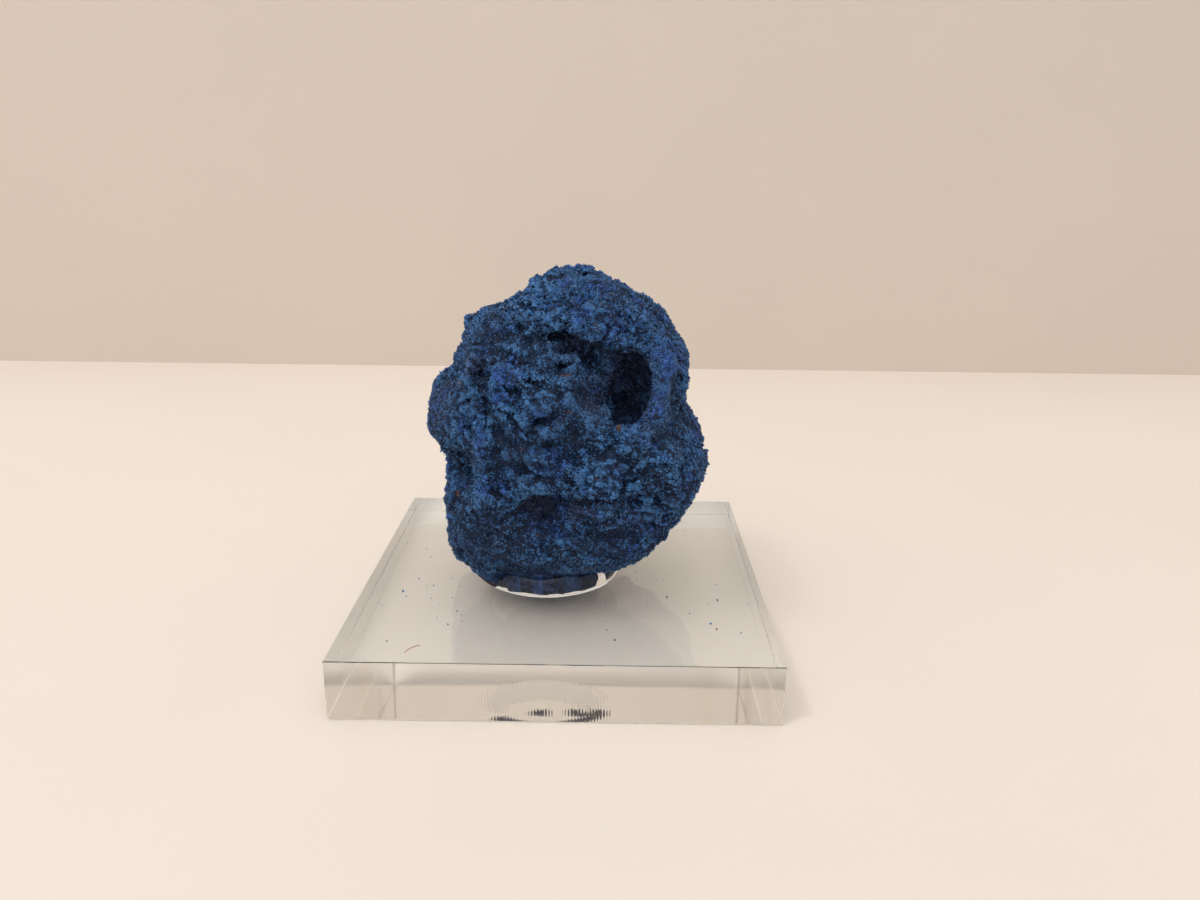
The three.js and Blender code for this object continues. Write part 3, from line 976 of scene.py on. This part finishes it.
# The gel wets the base along the front of its rim, between turns in degrees and this far in, and in two spots
# given by their middles and half sizes. A film of air is left elsewhere, above a smeared crescent.
WET_TURNS, WET_RIM, AIR_FILM = (-42, 60), 1.6, 0.02
WET_SPOTS = [((-2.2, -3.8), (1.0, 1.1)), ((2.9, -3.3), (2.1, 1.6))]
CRESCENT = [((-2.0, 0.3), 6.7), ((-2.0, -4.4), 4.7)]  # inside the first circle and outside the second
# Humps of the gel's rim: degrees from the front towards +X, how wide, and how far up
RIM_HUMPS = [(-28, 12, 0.45), (17, 13, 0.5), (95, 20, 0.3), (170, 30, 0.4), (235, 16, 0.35)]
RIM_HEIGHT = 2.35
# The gel's profile: how far in from its foot, and how high as a share of its rim
GEL_PROFILE = [
    (0.0, 0.0), (0.08, 0.02), (0.12, 0.06), (0.08, 0.14), (0.0, 0.24), (-0.05, 0.36), (-0.05, 0.48),
    (0.0, 0.60), (0.10, 0.71), (0.25, 0.81), (0.46, 0.90), (0.74, 0.97), (1.1, 1.02), (1.6, 1.06),
    (2.4, 1.10), (3.6, 1.15), (5.2, 1.2),
]  # fmt: skip
ARRIS, CORNER = 0.07, 0.12  # the width of the base's chamfered edges, and the radius of its upright corners
POLISHED, SAWN, WET, SMEARED = range(4)  # the base's materials


def square_ring(half, corner, inset):
    """Points round a square with rounded corners, always as many and in the same order."""
    reach, radius = half - inset, corner - inset
    ring = []
    for quarter in range(4):
        turn = quarter * math.pi / 2
        along = np.array([math.cos(turn), math.sin(turn)])
        across = np.array([-along[1], along[0]])
        flat = reach - radius
        ring += [along * reach + across * flat * (2 * n / SIDE_STEPS - 1) for n in range(SIDE_STEPS)]
        for n in range(CORNER_STEPS):
            angle = math.pi / 2 * n / CORNER_STEPS
            bow = radius * (along * math.cos(angle) + across * math.sin(angle))
            ring.append((along + across) * flat + bow)
    return np.array(ring)


def joined(rings):
    """The points of rings stacked into one skin, and its quads."""
    count = len(rings[0])
    here = np.arange(count)
    there = (here + 1) % count
    quads = [
        np.stack([here + low, there + low, there + low + count, here + low + count], 1)
        for low in range(0, count * (len(rings) - 1), count)
    ]
    return np.concatenate(rings), np.concatenate(quads)


def lifted(ring, height):
    return np.column_stack([ring, np.full(len(ring), height)])


def plate(outline, lines, height):
    """Triangles that fill an outline at a height, facing up, with edges along some closed lines inside it."""
    points, edges = [], []
    for ring in (outline, *lines):
        start, count = len(points), len(ring)
        edges += [(start + n, start + (n + 1) % count) for n in range(count)]
        points += [Vector(point) for point in ring]
    flat, _, faces, *_ = delaunay_2d_cdt(points, edges, [], 1, 1e-5)
    flat, faces = np.array(flat), np.array(faces)
    first, second, third = (flat[faces[:, n]] for n in range(3))
    turned = np.cross(second - first, third - first) < 0
    faces[turned] = faces[turned][:, ::-1]
    return lifted(flat, height), faces


def inside(ring, points):
    """Which points lie inside a closed line: those from which a ray crosses it an odd number of times."""
    crossed = np.zeros(len(points), bool)
    x, y = points[:, 0], points[:, 1]
    for (ax, ay), (bx, by) in zip(ring, np.roll(ring, -1, axis=0)):
        if ay != by:
            crossed ^= ((ay > y) != (by > y)) & (x < ax + (y - ay) * (bx - ax) / (by - ay))
    return crossed


def merged(*skins):
    """One set of points and triangles from several, whose edges meet at the same places."""
    points = np.concatenate([points for points, _ in skins])
    starts = np.cumsum([0] + [len(points) for points, _ in skins[:-1]])
    faces = [cut(faces) + start for (_, faces), start in zip(skins, starts)]
    _, first, new = np.unique(np.round(points, 4), axis=0, return_index=True, return_inverse=True)
    return points[first], new.ravel()[np.concatenate(faces)], [len(part) for part in faces]


def cut(faces):
    """Quads as triangles."""
    return faces if faces.shape[1] == 3 else np.concatenate([faces[:, [0, 1, 2]], faces[:, [0, 2, 3]]])


def gel_ring(inset, height):
    """A ring of the gel at an inset from its foot, with each point's turn from the front towards +X."""
    middle, radius = round_box(GEL)
    turn = 2 * np.pi * np.arange(GEL_STEPS) / GEL_STEPS
    wobble = 0.07 * np.sin(2 * turn + 1) + 0.05 * np.sin(3 * turn) + 0.04 * np.sin(5 * turn + 2)
    out = radius + wobble - inset
    ring = middle + np.column_stack([np.sin(turn), -np.cos(turn)]) * out[:, None]
    return lifted(ring, height), turn


def round_line(centre, size, uneven=0.0):
    """A closed line round a centre, with its half sizes, and out of round by a share."""
    turn = 2 * np.pi * np.arange(48) / 48
    bow = 1 + uneven * (0.6 * np.sin(3 * turn + centre[0]) + 0.4 * np.sin(5 * turn))
    return np.array(centre) + np.column_stack([np.cos(turn), np.sin(turn)]) * np.array(size) * bow[:, None]


def wet_lines():
    """The closed lines round the places where the gel wets the base."""
    rim, turn = gel_ring(0, 0)
    turn = (np.degrees(turn) + 180) % 360 - 180
    order = np.argsort(turn)
    front = order[(turn[order] >= WET_TURNS[0]) & (turn[order] <= WET_TURNS[1])]
    band = np.concatenate([rim[front], gel_ring(WET_RIM, 0)[0][front[::-1]]])[:, :2]
    return [band, *(round_line(centre, size, 0.2) for centre, size in WET_SPOTS)]


class AZURITE_OT_gel(bpy.types.Operator):
    """Make the pad of clear gel, which wets the stone all over and the base along its rim and in spots"""

    bl_idname = "azurite.gel"
    bl_label = "Gel pad"

    def execute(self, context):
        top = box_mm(BASE)[1][2]
        film = top + AIR_FILM
        turn = np.degrees(gel_ring(0, 0)[1])
        rim = np.full(len(turn), RIM_HEIGHT)
        for centre, width, rise in RIM_HUMPS:
            gap = (turn - centre + 180) % 360 - 180
            rim += rise * np.exp(-((gap / width) ** 2))
        side = joined([gel_ring(inset, film + rim * share)[0] for inset, share in GEL_PROFILE])
        wet = wet_lines()
        points, faces = plate(gel_ring(0, film)[0][:, :2], wet, film)
        dry = ~np.any([inside(line, points[faces].mean(1)) for line in wet], axis=0)
        walls = [joined([lifted(line, top), lifted(line, film)]) for line in wet]
        points, faces, _ = merged(side, (points, faces[dry][:, ::-1]), *walls)
        made = new_mesh("gel_pad", points, faces, True)
        dress(made, gel_material(context.scene.azurite_holder), "clear_gel", GEL)
        return {"FINISHED"}


# ---------------------------------------------------------------------------------------------------------
# Base, crumbs and fibre
# ---------------------------------------------------------------------------------------------------------


class AZURITE_OT_base(bpy.types.Operator):
    """Make the clear acrylic base, sawn at its sides, with its top wet where the gel touches it"""

    bl_idname = "azurite.base"
    bl_label = "Acrylic base"

    def execute(self, context):
        settings = context.scene.azurite_holder
        low, high = box_mm(BASE)
        half, floor, top = high[0], low[2], high[2]
        outline = [(ARRIS, floor), (0.0, floor + ARRIS), (0.0, top - ARRIS), (ARRIS, top)]
        side = joined([lifted(square_ring(half, CORNER, inset), height) for inset, height in outline])
        edge = square_ring(half, CORNER, ARRIS)
        under = plate(edge, [], floor)
        wet = wet_lines()
        crescent = [round_line(centre, (radius, radius)) for centre, radius in CRESCENT]
        over = plate(edge, [*crescent, *wet], top)
        middles = over[0][over[1]].mean(1)
        points, faces, counts = merged(side, (under[0], under[1][:, ::-1]), over)
        made = new_mesh("acrylic_slab", points, faces)
        dress(made, acrylic_material("clear_acrylic", settings, 0.0), "clear_acrylic", BASE)
        smeared = acrylic_material("smeared_acrylic", settings, settings.smear)
        for more in sawn_material(settings), contact_material(settings), smeared:
            made.data.materials.append(more)
        use = np.repeat((SAWN, POLISHED, POLISHED), counts)
        above = use[-counts[2] :]
        above[inside(crescent[0], middles) & ~inside(crescent[1], middles)] = SMEARED
        above[np.any([inside(line, middles) for line in wet], axis=0)] = WET
        made.data.polygons.foreach_set("material_index", use.astype(np.int32))
        return {"FINISHED"}


# The larger crumbs on the base's top: X, Y and half size
LARGE_CRUMBS = [
    (-17.6, -7.3, 0.20), (-17.0, -8.5, 0.12), (-14.5, -5.7, 0.10), (-16.2, 2.1, 0.10),
    (-16.5, -4.0, 0.09), (-11.9, -8.6, 0.10), (-10.9, -11.8, 0.12), (-11.4, -14.7, 0.12),
    (-12.8, -13.2, 0.09), (-10.1, -14.0, 0.10), (11.6, -7.9, 0.20), (17.1, -8.5, 0.17),
    (15.8, -13.9, 0.17), (5.0, -15.5, 0.14), (5.8, -17.5, 0.14), (18.7, -15.7, 0.14),
    (20.3, -9.3, 0.10), (17.4, -4.5, 0.10), (13.8, -11.6, 0.10), (16.3, -15.0, 0.15),
    (-16.9, -18.3, 0.12),
]  # fmt: skip
RUSTY_CRUMBS = [19, 20]  # the last two
SMALL_CRUMBS = (0.03, 0.08)  # the least and the greatest half size of the others
CRUMB_GAP, EDGE_GAP = 0.8, 1.0  # the least distance of those from the gel and from the base's edges
FIBRE = [(-14.7, -20.4), (-14.5, -19.8), (-14.1, -19.3), (-13.5, -18.9)]
FIBRE_RADIUS = 0.035


def tube(path, radius, sides=6):
    """A closed tube along a path of points in millimetres."""
    path = np.array(path, float)
    along = unit(np.gradient(path, axis=0))
    side = unit(np.cross(along, (0, 0, 1.0)))
    up = np.cross(side, along)
    turn = 2 * np.pi * np.arange(sides) / sides
    ring = np.cos(turn)[None, :, None] * side[:, None] + np.sin(turn)[None, :, None] * up[:, None]
    points = (path[:, None] + radius * ring).reshape(-1, 3)
    faces = []
    for row, n in itertools.product(range(len(path) - 1), range(sides)):
        a, b = row * sides + n, row * sides + (n + 1) % sides
        faces += [(a, b, b + sides), (a, b + sides, a + sides)]
    ends = [len(points), len(points) + 1]
    last = (len(path) - 1) * sides
    for n in range(sides):
        after = (n + 1) % sides
        faces += [(ends[0], after, n), (ends[1], last + n, last + after)]
    return np.vstack([points, path[:1], path[-1:]]), faces


class AZURITE_OT_crumbs(bpy.types.Operator):
    """Scatter shed crumbs of azurite on the base, and lay one fibre there"""

    bl_idname = "azurite.crumbs"
    bl_label = "Crumbs and fibre"

    def execute(self, context):
        settings = context.scene.azurite_holder
        low, high = box_mm(BASE)
        count = settings.crumbs
        rng = np.random.default_rng(settings.crumb_seed)
        middle, radius = round_box(GEL)
        turn = rng.uniform(0, 2 * np.pi, count)
        out = radius + CRUMB_GAP + rng.gamma(2.0, 3.2, count)
        places = middle + np.stack([np.cos(turn), np.sin(turn)], 1) * out[:, None]
        places = np.clip(places, low[:2] + EDGE_GAP, high[:2] - EDGE_GAP)
        large = np.array(LARGE_CRUMBS)
        places = np.vstack([large[:, :2], places])
        half = np.concatenate([large[:, 2], rng.uniform(*SMALL_CRUMBS, count)])
        sizes = half[:, None] * rng.uniform(0.6, 1.2, (len(half), 3))
        centres = np.column_stack([places, high[2] + sizes.max(1) * 0.7])
        axes = unit(rng.normal(size=(len(half), 3)) * (1, 1, 0.2))
        flats = unit(rng.normal(size=(len(half), 3)))
        points, faces = copies(BLOCK_CORNERS, BLOCK_FACES, centres, axes, flats, sizes)
        pale = np.repeat(rng.uniform(0.3, 1.0, len(half)), len(BLOCK_CORNERS))
        rust = np.repeat(np.isin(np.arange(len(half)), RUSTY_CRUMBS), len(BLOCK_CORNERS))
        empty = np.zeros(len(points))
        masks = {"pale": pale, "tone": pale, "rust": rust, "vivid": empty, "dust": empty}
        crumbs = new_mesh("loose_crumbs", points, faces, False, masks)
        material = azurite_material("azurite_crumbs", context.scene.azurite_nodule, 0.5, 0.4, 0.0)
        dress(crumbs, material, "azurite")
        path = [(x, y, high[2] + FIBRE_RADIUS) for x, y in FIBRE]
        fibre = new_mesh("dust_fibre", *tube(path, FIBRE_RADIUS), True)
        dress(fibre, plain_material("red_fibre", (0.45, 0.12, 0.07), 0.6), "azurite")
        return {"FINISHED"}


# ---------------------------------------------------------------------------------------------------------
# Studio
# ---------------------------------------------------------------------------------------------------------

FLOOR_GAP = 0.05  # the base stands on its highest specks, and not on the whole of its underside
WALL_PLACE, WALL_HEIGHT, ROOM_HALF = 136.0, 140.0, 1500.0
ABOVE = (-0.12, -0.5, 0.86)  # towards the strongest light
LAMP_PLACE, LAMP_AIM, LAMP_SIZE = Vector((-0.16, -0.14, 0.36)), Vector((0, 0, 0.02)), (0.07, 0.05)
LAMP_COLOUR = (1.0, 0.97, 0.92)
CAMERA_PLACE = (4.494, -99.89, 52.71)
CAMERA_TURN, CAMERA_DIP, CAMERA_ROLL = -0.0046, 0.3088, 0.0111
CAMERA_LENS = 27.69


def stage_plane(name, corners, material):
    made = new_mesh(name, corners, [(0, 1, 2, 3)])
    made.data.materials.append(material)


def light_the_room(scene, settings):
    """Soft light from all round, stronger from above the front, and one small lamp for the highlights."""
    world = bpy.data.worlds.new("studio")
    scene.world = world
    tree = Tree(world)
    direction = tree.add("ShaderNodeTexCoord", output="Generated")
    height = tree.add("ShaderNodeSeparateXYZ", values=(direction,), output="Z")
    glow = tree.mix(height.span(-0.1, 0.9), colour(settings.horizon), colour(settings.zenith))
    above = tree.add("ShaderNodeVectorMath", {"operation": "DOT_PRODUCT"}, (direction, ABOVE), output="Value")
    strength = above.span(0.2, 1.0) ** 2 * settings.canopy + settings.sky
    light = tree.add("ShaderNodeBackground", values={"Color": glow, "Strength": strength})
    tree.add("ShaderNodeOutputWorld", values={"Surface": light})
    lamp = bpy.data.lights.new("key", "AREA")
    lamp.shape = "RECTANGLE"
    lamp.size, lamp.size_y = LAMP_SIZE
    lamp.energy, lamp.color = settings.key, LAMP_COLOUR
    placed = bpy.data.objects.new("key", lamp)
    placed.location = LAMP_PLACE
    placed.rotation_mode = "QUATERNION"
    placed.rotation_quaternion = (LAMP_AIM - LAMP_PLACE).to_track_quat("-Z", "Y")
    scene.collection.objects.link(placed)


def aim_the_camera(scene):
    """The camera by its place, its turn to the left, its dip and its roll, in radians."""
    turn, dip, roll = CAMERA_TURN, CAMERA_DIP, CAMERA_ROLL
    ahead = Vector((math.sin(turn) * math.cos(dip), math.cos(turn) * math.cos(dip), -math.sin(dip)))
    level = Vector((math.cos(turn), -math.sin(turn), 0))
    upright = level.cross(ahead)
    right = math.cos(roll) * level + math.sin(roll) * upright
    up = -math.sin(roll) * level + math.cos(roll) * upright
    data = bpy.data.cameras.new("camera")
    data.lens, data.sensor_width, data.sensor_fit = CAMERA_LENS, 36.0, "HORIZONTAL"
    data.clip_start, data.clip_end = 0.005, 10.0
    camera = bpy.data.objects.new("camera", data)
    rotation = Matrix((right, up, -ahead)).transposed().to_4x4()
    camera.matrix_world = Matrix.Translation(Vector(CAMERA_PLACE) * MM) @ rotation
    scene.collection.objects.link(camera)
    scene.camera = camera


class AZURITE_OT_studio(bpy.types.Operator):
    """Set up the floor, the backdrop, the light and the camera"""

    bl_idname = "azurite.studio"
    bl_label = "Studio"

    def execute(self, context):
        scene, settings = context.scene, context.scene.azurite_studio
        far, low = ROOM_HALF, -FLOOR_GAP
        ground = [(-far, -far, low), (far, -far, low), (far, WALL_PLACE, low), (-far, WALL_PLACE, low)]
        stage_plane("floor", ground, plain_material("floor", settings.floor, 0.6))
        wall = [(-far, WALL_PLACE, low), (far, WALL_PLACE, low)]
        wall += [(x, y, WALL_HEIGHT) for x, y, _ in reversed(wall)]
        stage_plane("backdrop", wall, plain_material("backdrop", settings.wall, 0.8))
        light_the_room(scene, settings)
        aim_the_camera(scene)
        scene.view_settings.view_transform = "Standard"
        scene.cycles.blur_glossy = 0.0  # light that has passed through the acrylic isn't softened
        return {"FINISHED"}


# ---------------------------------------------------------------------------------------------------------
# Add-on
# ---------------------------------------------------------------------------------------------------------


class AZURITE_PT_panel(bpy.types.Panel):
    """Lists the specimen's settings and the steps that make it"""

    bl_idname = "AZURITE_PT_panel"
    bl_label = "Azurite specimen"
    bl_space_type = "VIEW_3D"
    bl_region_type = "UI"
    bl_category = "Azurite"

    def draw(self, context):
        for group, operators in STEPS:
            box = self.layout.box()
            settings = getattr(context.scene, group)
            for name in settings.__annotations__:
                box.prop(settings, name)
            for operator in operators:
                box.operator(operator.bl_idname)


GROUPS = {
    "azurite_studio": StudioSettings,
    "azurite_nodule": NoduleSettings,
    "azurite_crystals": CrystalSettings,
    "azurite_holder": HolderSettings,
}
STEPS = [
    ("azurite_studio", [AZURITE_OT_studio]),
    ("azurite_nodule", [AZURITE_OT_nodule]),
    ("azurite_crystals", [AZURITE_OT_crystals]),
    ("azurite_holder", [AZURITE_OT_gel, AZURITE_OT_base, AZURITE_OT_crumbs]),
]
OPERATORS = [operator for _, operators in STEPS for operator in operators]
CLASSES = [*GROUPS.values(), *OPERATORS, AZURITE_PT_panel]


def register():
    for one in CLASSES:
        bpy.utils.register_class(one)
    for name, group in GROUPS.items():
        setattr(bpy.types.Scene, name, PointerProperty(type=group))


def unregister():
    for name in GROUPS:
        delattr(bpy.types.Scene, name)
    for one in reversed(CLASSES):
        bpy.utils.unregister_class(one)


def main():
    register()
    bpy.ops.azurite.studio()
    bpy.ops.azurite.nodule()
    bpy.ops.azurite.crystals()
    bpy.ops.azurite.gel()
    bpy.ops.azurite.base()
    bpy.ops.azurite.crumbs()
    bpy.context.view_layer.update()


if __name__ == "__main__":
    main()
